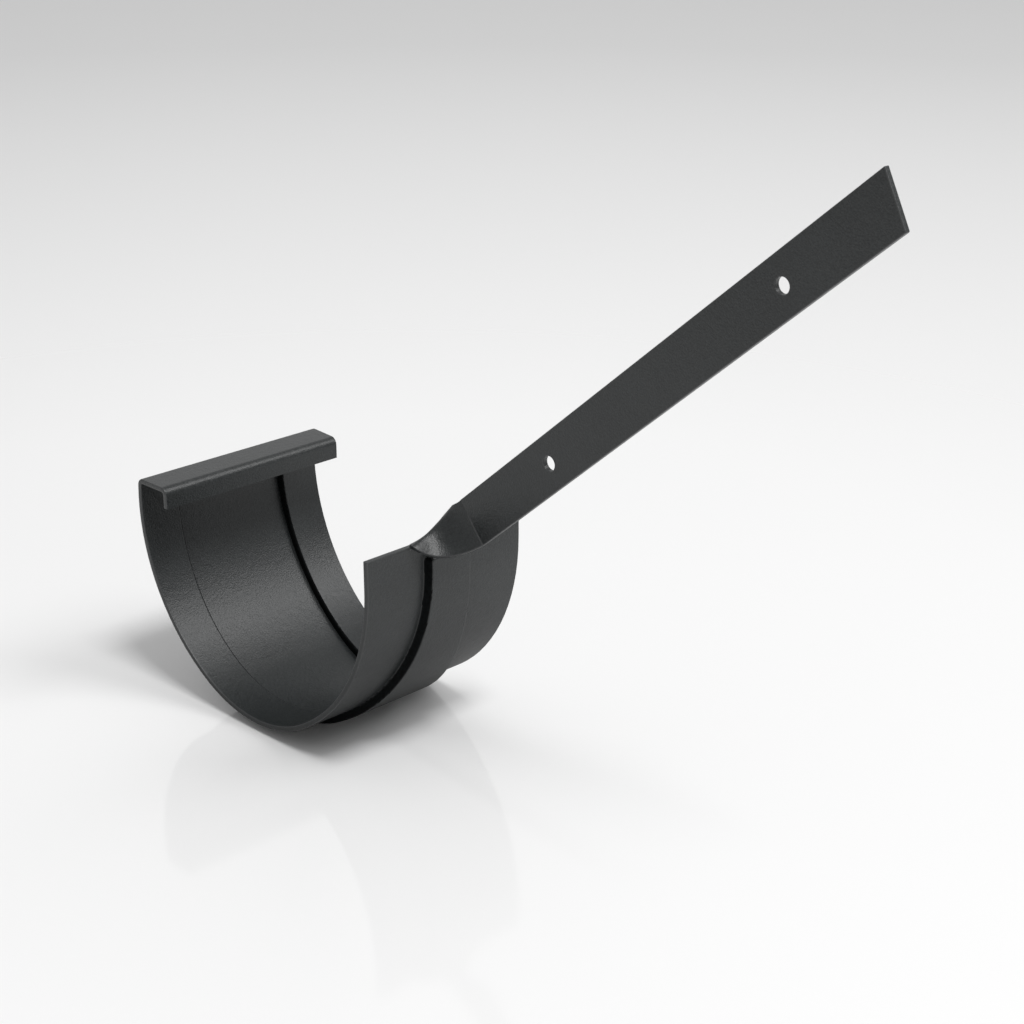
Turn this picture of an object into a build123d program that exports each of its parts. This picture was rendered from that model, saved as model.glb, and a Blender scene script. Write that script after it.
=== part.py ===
"""Gutter bracket, pressed from one steel sheet: cradle, raised band, front hook, twisted strap and fixing arm.

Frame: Y is the gutter's own axis, X runs from the front hook (-X) to the fixing arm (+X), Z is up.
The origin lies on the gutter's centre line, in the middle plane of the arm. Millimetres.
"""
import os
from math import asin, cos, degrees, radians, sin, tan

from build123d import *

# sheet
sheet = 2.0                     # thickness of the steel

# cradle, seen along the gutter: a front, a bottom and a rear arc that run into each other
gutter_width = 125.0            # outside width of the gutter that lies in the cradle
front_radius = 73.7             # outer face of the front wall
rear_radius = 77.2              # outer face of the rear wall
front_centre_height = 0.7       # centre of the front arc above the gutter's centre line
arc_turn = 60.0                 # each arc's share of the half round
rear_rim_height = 14.7          # top of the rear wall
cradle_width_rear = 70.7        # along the gutter, at the rear wall
cradle_width_front = 83.2       # along the gutter, at the front wall

# front hook, which closes over the gutter's bead
front_lean = 6.0                # how far the front wall leans in before the hook
hook_bend = 3.0                 # outer radius of the hook's two bends
hook_reach = 17.9               # front wall to the leg's face, outside
hook_leg = 8.4                  # top of the hook to the leg's lower end

# raised band, pressed outwards along the middle of the cradle
band_height = 3.1               # step from the cradle's outer face to the band's
band_width_front = 53.0
band_width_middle = 42.0
band_width_rear = 20.0
band_middle = 15.0              # where the middle width is taken, in X
band_rear_gap = 5.5             # rear rim down to the band's shoulder
band_front_end = 5.0            # height of the band's shoulder under the hook
band_corner = 1.5               # corners of the rear shoulder
band_round = 1.0                # the step's foot and crest, and the lip of the recess

# arm, a flat bar on edge that is screwed to the side of the rafter
arm_pitch = 40.4                # slope of the arm above the horizontal
arm_width = 17.6
arm_length = 213.0              # crease to the upper end, on the centre line
arm_end_skew = 13.5             # the upper end is cut this far off square
hole_diameter = 5.0
hole_first = 48.5               # crease to the lower hole
hole_pitch = 118.5
crease_out = 14.6               # crease's middle, outwards from the cradle's rear face
crease_up = 9.2                 # crease's middle, above the rear rim

# strap, the twisted length between the rear rim and the arm
strap_root_width = 30.0
strap_turn = 24.0               # fold at the crease
near_lift = (7.5, -6.0, 5.7)    # how the strap's near edge leaves the rim
far_lift = (-1.6, -14.8, 11.4)  # how its far edge leaves the rim
near_run_in = (23.0, -1.2)      # how each edge comes to the crease: from how far ahead of it,
far_run_in = (3.1, 1.1)         # and from how far below
rim_hollow = (1.45, -3.3, 2.2)  # how the strap's middle is pressed out from between its edges, near the
crease_hollow = (-10.9, 3.0, -1.6)  # rim and near the crease
hollow_fill = 1.5               # thickness kept in the hollow, against the mean of the two edges

half_width = gutter_width / 2 + sheet
bottom_radius = gutter_width + 2 * sheet - (front_radius + rear_radius) / 2
rear_centre_height = front_centre_height + (rear_radius - front_radius) * sin(radians(arc_turn))
to_crease = Vector(crease_out, 0, crease_up)
crease_middle = Vector(half_width, 0, rear_rim_height) + to_crease
arm_plane = Plane(origin=crease_middle, x_dir=(cos(radians(arm_pitch)), 0, sin(radians(arm_pitch))),
                  z_dir=(0, -1, 0))


def wall_line(depth, rim_height, front_rise):
    """A face of the cradle, at a depth from the outer one: down the rear wall and round to the front."""
    wall = Line((half_width - depth, rim_height), (half_width - depth, rear_centre_height))
    rear = JernArc(wall @ 1, wall % 1, rear_radius - depth, -arc_turn)
    bottom = JernArc(rear @ 1, rear % 1, bottom_radius - depth, -arc_turn)
    front = JernArc(bottom @ 1, bottom % 1, front_radius - depth, -(arc_turn + front_rise))
    return [wall, rear, bottom, front]


def hook_line(depth):
    """The same face from the rear rim to the end of the hook's leg."""
    edges = wall_line(depth, rear_rim_height, front_lean)
    bend = JernArc(edges[-1] @ 1, edges[-1] % 1, hook_bend - depth, -(90 - front_lean))
    leg_x = hook_reach - half_width
    top = Line(bend @ 1, (leg_x - hook_bend, (bend @ 1).Y))
    turn = JernArc(top @ 1, top % 1, hook_bend - depth, -90)
    leg = Line(turn @ 1, (leg_x - depth, (turn @ 1).Y - (hook_leg - hook_bend)))
    return edges + [bend, top, turn, leg]


def between(outer, inner):
    """The area between two faces of the sheet, closed square at both ends."""
    ends = [Line(outer[0] @ 0, inner[0] @ 0), Line(outer[-1] @ 1, inner[-1] @ 1)]
    return make_face(outer + inner + ends)


def along_gutter(section, half_length):
    """A section drawn in X and Z, run out along the gutter to both sides."""
    return extrude(Plane.XZ * section, amount=half_length, both=True)


def cradle_plan():
    """Outline from above: straight ends that run together towards the rear."""
    slope = (cradle_width_front - cradle_width_rear) / (4 * half_width)
    front_x, rear_x = -2 * half_width, 2 * half_width
    front_y = cradle_width_rear / 2 + slope * (half_width - front_x)
    rear_y = cradle_width_rear / 2 + slope * (half_width - rear_x)
    return Polygon((front_x, -front_y), (front_x, front_y), (rear_x, rear_y), (rear_x, -rear_y), align=None)


def band_plan(inset):
    """Outline of the band from above: two curves that narrow towards the rear."""
    side = ThreePointArc(
        (-half_width, band_width_front / 2 - inset),
        (band_middle, band_width_middle / 2 - inset),
        (half_width, band_width_rear / 2 - inset),
    )
    reach = 2 * band_height
    front_end = side @ 0 - (side % 0) * reach
    rear_end = side @ 1 + (side % 1) * reach
    upper = Wire([Line(front_end, side @ 0), side, Line(side @ 1, rear_end)])
    lower = mirror(upper, about=Plane.XZ)
    ends = [Line(front_end, (front_end.X, -front_end.Y)), Line(rear_end, (rear_end.X, -rear_end.Y))]
    return make_face(upper.edges() + lower.edges() + ends)


def band_block(outer, inner, stop, inset):
    """The band between two depths from the cradle's outer face, held back at its ends and sides."""
    rim_height = rear_rim_height - band_rear_gap - stop
    rise = degrees(asin((band_front_end - stop - front_centre_height) / front_radius))
    section = between(wall_line(outer, rim_height, rise), wall_line(inner, rim_height, rise))
    plan = extrude(band_plan(inset), amount=gutter_width, both=True)
    return along_gutter(section, band_width_front) & plan


def cradle():
    """The sheet, pressed outwards into the band: a block on the outside and the recess inside it."""
    body = along_gutter(between(hook_line(0), hook_line(sheet)), cradle_width_front)
    body &= extrude(cradle_plan(), amount=gutter_width, both=True)
    block = band_block(-band_height, sheet / 2, 0, 0)
    block = fillet(block.edges().group_by(Axis.Z)[-1].sort_by(SortBy.LENGTH)[:2], band_corner)
    recess = band_block(sheet - band_height, 2 * sheet, sheet, sheet)
    pressed = body + block - recess
    pressed = fillet(new_edges(body, block, recess, combined=pressed), band_round)
    crest = [edge for edge in pressed.edges() if edge.distance_to(body) > band_height / 2]
    return fillet(crest, band_round)


def arm():
    """The flat bar from the crease up to its skewed end, with its two screw holes."""
    skew = arm_width / 2 * tan(radians(arm_end_skew))
    outline = Polygon(
        (0, -arm_width / 2), (arm_length - skew, -arm_width / 2),
        (arm_length + skew, arm_width / 2), (0, arm_width / 2), align=None,
    )
    holes = [Pos(out, 0) * Circle(hole_diameter / 2) for out in (hole_first, hole_first + hole_pitch)]
    return extrude(arm_plane * (outline - holes), amount=sheet / 2, both=True)


def quarter(start, end):
    """Control offsets that swing the sheet's thickness evenly from one direction to another."""
    swing = radians(start.get_angle(end))
    pull = 4 / 3 * tan(swing / 4) * start.length
    leaving = (end - start * (start.dot(end) / start.dot(start))).normalized()
    arriving = (end * (start.dot(end) / end.dot(end)) - start).normalized()
    return [start, start + leaving * pull, end - arriving * pull, end]


def strap():
    """The twist: the rear wall's sheet carried on between two curved edges and hollowed between them."""
    along, across, face_side = arm_plane.x_dir, arm_plane.y_dir, arm_plane.z_dir
    turn = radians(strap_turn)
    heading = along * cos(turn) - face_side * sin(turn)
    mitre = (-face_side - along * tan(turn / 2)) * sheet
    near_face = crease_middle + face_side * (sheet / 2)
    edges, offsets = [], []
    for side, lift, (ahead, below), under in ((-1, near_lift, near_run_in, (0, 0, -sheet)),
                                              (1, far_lift, far_run_in, (sheet, 0, 0))):
        root = Vector(half_width - sheet, side * strap_root_width / 2, rear_rim_height)
        end = near_face + across * (side * arm_width / 2)
        edges.append([root, root + Vector(lift), end - heading * ahead - across * below, end])
        offsets.append(quarter(Vector(under), mitre))
    hollow = [Vector(), Vector(rim_hollow), Vector(crease_hollow), Vector()]
    middle = [(one + other) / 2 + dip for one, other, dip in zip(*edges, hollow)]
    fill = (1, hollow_fill, hollow_fill, 1)
    middle_offset = [(one + other) / 2 * share for one, other, share in zip(*offsets, fill)]
    upper = [edges[0], middle, edges[1]]
    lower = [[point + offset for point, offset in zip(line, drop)]
             for line, drop in zip(upper, [offsets[0], middle_offset, offsets[1]])]
    skins = [Face.make_bezier_surface(upper), Face.make_bezier_surface(lower)]
    sides = [Face.make_surface_from_curves(Edge.make_bezier(*upper[side]), Edge.make_bezier(*lower[side]))
             for side in (0, -1)]
    root_end = Face.make_surface_from_curves(Edge.make_line(upper[0][0], upper[-1][0]),
                                             Edge.make_line(lower[0][0], lower[-1][0]))
    fold_end = Face(Wire.make_polygon([upper[0][-1], upper[-1][-1], lower[-1][-1], lower[0][-1]]))
    return Solid(Shell(skins + sides + [root_end, fold_end]))


def fold():
    """The wedge that fills the outside of the fold between strap and arm."""
    gap = sheet * tan(radians(strap_turn) / 2)
    wedge = Polygon((0, sheet / 2), (0, -sheet / 2), (-gap, -sheet / 2), align=None)
    lower_edge = Plane(origin=crease_middle - arm_plane.y_dir * (arm_width / 2),
                       x_dir=arm_plane.x_dir, z_dir=-arm_plane.y_dir)
    return extrude(lower_edge * wedge, amount=arm_width, dir=arm_plane.y_dir)


bracket = cradle() + strap() + fold() + arm()

os.makedirs("parts", exist_ok=True)
export_step(bracket, "parts/gutter_bracket.step")
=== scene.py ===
"""Gutter bracket for a half-round gutter, seen on a pale studio floor."""

from math import radians

import bmesh
import bpy
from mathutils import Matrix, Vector


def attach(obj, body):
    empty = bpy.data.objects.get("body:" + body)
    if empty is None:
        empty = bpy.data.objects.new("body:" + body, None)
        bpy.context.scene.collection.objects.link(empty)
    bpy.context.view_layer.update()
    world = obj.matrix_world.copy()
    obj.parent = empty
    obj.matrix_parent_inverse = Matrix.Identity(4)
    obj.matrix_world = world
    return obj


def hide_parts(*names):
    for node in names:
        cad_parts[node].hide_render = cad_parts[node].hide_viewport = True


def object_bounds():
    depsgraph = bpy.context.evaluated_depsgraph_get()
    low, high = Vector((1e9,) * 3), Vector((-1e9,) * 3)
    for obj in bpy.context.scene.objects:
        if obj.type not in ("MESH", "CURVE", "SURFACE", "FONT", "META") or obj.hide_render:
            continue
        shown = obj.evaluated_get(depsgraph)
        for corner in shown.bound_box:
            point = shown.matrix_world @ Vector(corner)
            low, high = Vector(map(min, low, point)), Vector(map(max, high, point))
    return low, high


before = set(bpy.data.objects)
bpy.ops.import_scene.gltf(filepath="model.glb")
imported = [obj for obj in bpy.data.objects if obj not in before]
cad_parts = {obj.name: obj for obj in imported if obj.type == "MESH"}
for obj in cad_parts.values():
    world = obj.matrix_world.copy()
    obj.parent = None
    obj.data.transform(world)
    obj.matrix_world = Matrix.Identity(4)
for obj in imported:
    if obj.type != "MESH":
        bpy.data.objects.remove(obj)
cad_box = [list(corner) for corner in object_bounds()]


# The bracket is one strip of 2 mm steel sheet: a cradle with a rolled hook at its front, a raised
# band pressed down its middle, and a strap twisted upright and folded into the arm. It is cut,
# pressed and bent in one piece, and blasting has rounded its cut edges.
merge_gap = 0.00005
smallest_edge = 0.0001
flat_within = radians(0.4)
edge_rounding = 0.00035
cut_corner = radians(50)
sharp_bend = radians(32)
band_top = 0.0117
band_side = 0.030
fold_middle = Vector((0.0791, 0.0, 0.0239))
fold_reach = 0.0092
fold_bend = radians(18)


def on_band(spot):
    """Whether a spot lies in the part of the cradle that the band is pressed into."""
    return abs(spot.y) < band_side and spot.z < band_top


def halfway(edge):
    """The middle of an edge."""
    return (edge.verts[0].co + edge.verts[1].co) / 2


bracket_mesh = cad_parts["gutter_bracket"].data.copy()
bracket_mesh.name = "bracket_sheet"
sheet = bmesh.new()
sheet.from_mesh(bracket_mesh)
bmesh.ops.remove_doubles(sheet, verts=sheet.verts, dist=merge_gap)
bmesh.ops.dissolve_degenerate(sheet, dist=smallest_edge, edges=sheet.edges)
bmesh.ops.dissolve_limit(
    sheet,
    angle_limit=flat_within,
    verts=sheet.verts,
    edges=sheet.edges,
    use_dissolve_boundaries=False,
)
step_wall = sheet.faces.layers.float.new("step_wall")
cut_edge = sheet.faces.layers.float.new("cut_edge")
# Steep faces of the pressed step are marked and given the second material, for a painted shade.
for face in sheet.faces:
    if on_band(face.calc_center_median()):
        sideways = abs(face.normal.y)
        face[step_wall] = min(1.0, max(0.0, 1.6 * sideways - 0.3))
        face.material_index = 1 if sideways > 0.5 else 0
corners = [e for e in sheet.edges if not on_band(halfway(e)) and e.calc_face_angle(0.0) > cut_corner]
rounded = bmesh.ops.bevel(
    sheet,
    geom=corners,
    offset=edge_rounding,
    offset_type="OFFSET",
    affect="EDGES",
    segments=2,
    profile=0.5,
    material=-1,
    clamp_overlap=False,
)
# The rounded cut edges are marked; the coat paints a highlight on them, partly standing for wear.
for face in rounded["faces"]:
    face[cut_edge] = 1.0
bmesh.ops.triangulate(sheet, faces=[face for face in sheet.faces if len(face.verts) > 4])
for face in sheet.faces:
    face.smooth = True
for edge in sheet.edges:
    on_fold = (halfway(edge) - fold_middle).length < fold_reach
    edge.smooth = edge.calc_face_angle(0.0) < (fold_bend if on_fold else sharp_bend)
sheet.to_mesh(bracket_mesh)
sheet.free()

bracket = bpy.data.objects.new("bracket_sheet", bracket_mesh)
bpy.context.scene.collection.objects.link(bracket)
even_light = bracket.modifiers.new("even_light", "WEIGHTED_NORMAL")
even_light.keep_sharp = True
even_light.weight = 80
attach(bracket, "root")
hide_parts("gutter_bracket")


class Shade:
    """A socket whose operators add Math nodes to the material it belongs to."""

    def __init__(self, tree, socket=None):
        self.tree = tree
        self.socket = socket

    def node(self, kind, settings=None, output=0, **sockets):
        """Any other node, from its type, its settings and the values or links of its sockets."""
        made = self.tree.nodes.new(kind)
        for name, setting in (settings or {}).items():
            if name == "stops":
                for stop, (position, color) in zip(made.color_ramp.elements, setting):
                    stop.position, stop.color = position, color
            else:
                setattr(made, name, setting)
        for name, given in sockets.items():
            number = name[1:]
            socket = made.inputs[int(number) if number.isdigit() else name.replace("_", " ")]
            if isinstance(given, Shade):
                self.tree.links.new(given.socket, socket)
            else:
                socket.default_value = given
        return Shade(self.tree, made.outputs[output])

    def maths(self, operation, first, second):
        return self.node("ShaderNodeMath", {"operation": operation}, _0=first, _1=second)

    def __add__(self, other):
        return self.maths("ADD", self, other)

    __radd__ = __add__

    def __mul__(self, other):
        return self.maths("MULTIPLY", self, other)

    __rmul__ = __mul__

    def __sub__(self, other):
        return self.maths("SUBTRACT", self, other)

    def __rsub__(self, other):
        return self.maths("SUBTRACT", other, self)


# The finish is a baked anthracite powder coat: satin, with a fine sandy grain and a slight
# orange peel. A painted highlight makes it paler over the cut edges, partly standing for wear,
# and a painted highlight line runs along the lower half of the fold. The steep walls of the
# pressed step get a painted shade, dull and nearly black.
coat_dark = (0.0065, 0.0082, 0.0086, 1.0)
coat_pale = (0.0265, 0.0300, 0.0308, 1.0)
coat_edge_highlight = (0.045, 0.047, 0.048, 1.0)
painted_step_shade = (0.0025, 0.0026, 0.0026, 1.0)
painted_fold_highlight = (0.052, 0.054, 0.055, 1.0)
along_arm = (0.7615, 0.0, 0.6481)
across_arm = (-0.6481, 0.0, 0.7615)
along_gutter = (0.0, 1.0, 0.0)
colours = {"data_type": "RGBA"}
dot = {"operation": "DOT_PRODUCT"}

powder_coat = bpy.data.materials.new("anthracite_powder_coat")
powder_coat.use_nodes = True
coat = powder_coat.node_tree.nodes["Principled BSDF"]
links = powder_coat.node_tree.links
paint = Shade(powder_coat.node_tree)
place = paint.node("ShaderNodeTexCoord", output=3)
grain = paint.node("ShaderNodeTexNoise", Vector=place, Scale=1700.0, Detail=2.0, Roughness=0.6)
peel = paint.node("ShaderNodeTexNoise", Vector=place, Scale=430.0, Detail=2.0, Roughness=0.5)
cloud = paint.node("ShaderNodeTexNoise", Vector=place, Scale=38.0, Detail=3.0, Roughness=0.5)
rounded_edge_mask = paint.node("ShaderNodeAttribute", {"attribute_name": "cut_edge"}, output=2)
steep = paint.node("ShaderNodeAttribute", {"attribute_name": "step_wall"}, output=2)

from_fold = paint.node(
    "ShaderNodeVectorMath", {"operation": "SUBTRACT"}, _0=place, _1=tuple(fold_middle)
)
past_fold = paint.node("ShaderNodeVectorMath", dot, output=1, _0=from_fold, _1=along_arm)
up_fold = paint.node("ShaderNodeVectorMath", dot, output=1, _0=from_fold, _1=across_arm)
far_side = paint.node("ShaderNodeVectorMath", dot, output=1, _0=from_fold, _1=along_gutter)
off_fold = paint.node("ShaderNodeMath", {"operation": "ABSOLUTE"}, _0=past_fold)
on_line = paint.node(
    "ShaderNodeMapRange", Value=off_fold, From_Min=0.0002, From_Max=0.0005, To_Min=1.0, To_Max=0.0
)
on_lower_half = paint.node(
    "ShaderNodeMapRange", Value=up_fold, From_Min=0.0, From_Max=0.004, To_Min=1.0, To_Max=0.0
)
on_near_side = paint.node(
    "ShaderNodeMapRange", Value=far_side, From_Min=-0.0004, From_Max=0.0, To_Min=1.0, To_Max=0.0
)
# A painted highlight line along the lower half of the fold.
fold_highlight_mask = on_line * on_lower_half * on_near_side

tone = grain * 0.8 + cloud * 0.3 - 0.05
powder = paint.node(
    "ShaderNodeValToRGB", {"stops": [(0.3, coat_dark), (0.75, coat_pale)]}, Fac=tone
)
folded = paint.node("ShaderNodeMix", colours, output=2, _0=fold_highlight_mask * 0.9, _6=powder, _7=painted_fold_highlight)
# Cut edges are painted paler: a painted highlight, partly wear.
wear_and_edge_highlight = rounded_edge_mask * (0.4 + cloud * 0.8)
edged = paint.node("ShaderNodeMix", colours, output=2, _0=wear_and_edge_highlight, _6=folded, _7=coat_edge_highlight)
colour = paint.node("ShaderNodeMix", colours, output=2, _0=steep, _6=edged, _7=painted_step_shade)
links.new(colour.socket, coat.inputs["Base Color"])
gloss = 0.27 + grain * 0.14 + cloud * 0.06 + steep * 0.35
links.new(gloss.socket, coat.inputs["Roughness"])
height = grain * 0.6 + peel * 0.4
relief = paint.node("ShaderNodeBump", Strength=0.5, Distance=0.0004, Height=height)
links.new(relief.socket, coat.inputs["Normal"])
coat.inputs["Specular IOR Level"].default_value = 0.56

# The step walls get their own material: a painted shade, dull and nearly black.
step_shade_coat = bpy.data.materials.new("painted_shade_in_the_step")
step_shade_coat.use_nodes = True
dull = step_shade_coat.node_tree.nodes["Principled BSDF"]
wall = Shade(step_shade_coat.node_tree)
wall_place = wall.node("ShaderNodeTexCoord", output=3)
step_noise = wall.node("ShaderNodeTexNoise", Vector=wall_place, Scale=900.0, Detail=2.0)
step_shade_tone = wall.node("ShaderNodeValToRGB", {"stops": [(0.3, painted_step_shade), (0.8, coat_dark)]}, Fac=step_noise)
step_shade_coat.node_tree.links.new(step_shade_tone.socket, dull.inputs["Base Color"])
step_shade_coat.node_tree.links.new((0.7 + step_noise * 0.2).socket, dull.inputs["Roughness"])
dull.inputs["Specular IOR Level"].default_value = 0.06

bracket_mesh.materials[0] = powder_coat
bracket_mesh.materials.append(step_shade_coat)


# The studio floor is a wide pale sheet that keeps the bracket's shadow, and has a soft sheen
# close to it. Its colour is painted darker with distance, a painted shade for the light falling
# off. Seen in the bracket's reflections, the floor close to it is painted darker still, a painted
# shade for the bracket's own shade on it.
floor_height = cad_box[0][2]
floor_reach = 9.0
floor_near = (0.89, 0.89, 0.89, 1.0)
floor_far_painted_shade = (0.69, 0.69, 0.69, 1.0)
floor_shaded = (0.08, 0.08, 0.08, 1.0)
soft_step = {"interpolation_type": "SMOOTHSTEP"}

floor_mesh = bpy.data.meshes.new("studio_floor")
flat = bmesh.new()
bmesh.ops.create_grid(flat, x_segments=1, y_segments=1, size=floor_reach)
bmesh.ops.translate(flat, vec=(0, 0, floor_height), verts=flat.verts)
flat.to_mesh(floor_mesh)
flat.free()
floor = bpy.data.objects.new("studio_floor", floor_mesh)
bpy.context.scene.collection.objects.link(floor)

pale_floor = bpy.data.materials.new("pale_floor")
pale_floor.use_nodes = True
floor_shader = pale_floor.node_tree.nodes["Principled BSDF"]
floor_links = pale_floor.node_tree.links
ground = Shade(pale_floor.node_tree)
spot = ground.node("ShaderNodeTexCoord", output=3)
away = ground.node("ShaderNodeVectorMath", {"operation": "LENGTH"}, output=1, _0=spot)
# The floor's colour is painted darker with distance: a painted shade for the light falling off.
painted_falloff = ground.node(
    "ShaderNodeValToRGB", {"stops": [(0.1, floor_near), (0.5, floor_far_painted_shade)]}, Fac=away * 0.3
)
# Seen in reflections, the floor near the bracket is painted darker: a painted shade.
mirrored = ground.node("ShaderNodeLightPath", output=3)
close_by = ground.node(
    "ShaderNodeMapRange",
    soft_step,
    Value=away,
    From_Min=0.04,
    From_Max=0.22,
    To_Min=0.66,
    To_Max=0.0,
)
shaded = mirrored * close_by
pale = ground.node("ShaderNodeMix", colours, output=2, _0=shaded, _6=painted_falloff, _7=floor_shaded)
floor_links.new(pale.socket, floor_shader.inputs["Base Color"])
sheen = ground.node(
    "ShaderNodeMapRange",
    soft_step,
    Value=away,
    From_Min=0.12,
    From_Max=0.6,
    To_Min=0.07,
    To_Max=0.3,
)
floor_links.new(sheen.socket, floor_shader.inputs["Roughness"])
floor_shader.inputs["Specular IOR Level"].default_value = 0.35
floor_mesh.materials.append(pale_floor)


# The light is a broad soft box high on the right and a smaller one overhead, with the pale air
# of the room around them, which is a little brighter low behind the bracket.
air = bpy.data.worlds.new("studio_air")
bpy.context.scene.world = air
air.use_nodes = True
air_shader = air.node_tree.nodes["Background"]
room = Shade(air.node_tree)
look = room.node("ShaderNodeTexCoord")
behind = room.node("ShaderNodeVectorMath", dot, output=1, _0=look, _1=(-0.75, 0.56, 0.35))
glow = room.maths("MAXIMUM", behind, 0.0)
square = glow * glow
brightness = 0.42 + behind * 0.05 + square * square * square * 0.36
air_shader.inputs["Color"].default_value = (1.0, 1.0, 1.0, 1.0)
air.node_tree.links.new(brightness.socket, air_shader.inputs["Strength"])

soft_boxes = (
    ("side_box", 1.9, 54.0, (1.98, 1.95, 2.88)),
    ("top_box", 0.8, 48.0, (1.40, -0.22, 2.94)),
)
for name, width, power, stand in soft_boxes:
    soft_box = bpy.data.lights.new(name, "AREA")
    soft_box.shape = "SQUARE"
    soft_box.size = width
    soft_box.energy = power
    holder = bpy.data.objects.new(name, soft_box)
    bpy.context.scene.collection.objects.link(holder)
    holder.location = stand
    holder.rotation_euler = holder.location.to_track_quat("Z", "Y").to_euler()


# The camera stands where the photograph was taken from: 46 degrees round and 22 degrees up,
# with a long lens.
camera_data = bpy.data.cameras.new("photo_view")
camera_data.lens = 67.74
camera_data.sensor_width = 36.0
camera = bpy.data.objects.new("photo_view", camera_data)
bpy.context.scene.collection.objects.link(camera)
camera.location = (0.5266, -0.4080, 0.2736)
camera.rotation_euler = (radians(67.88), 0.0, radians(46.416))
bpy.context.scene.camera = camera
bpy.context.scene.view_settings.view_transform = "Standard"
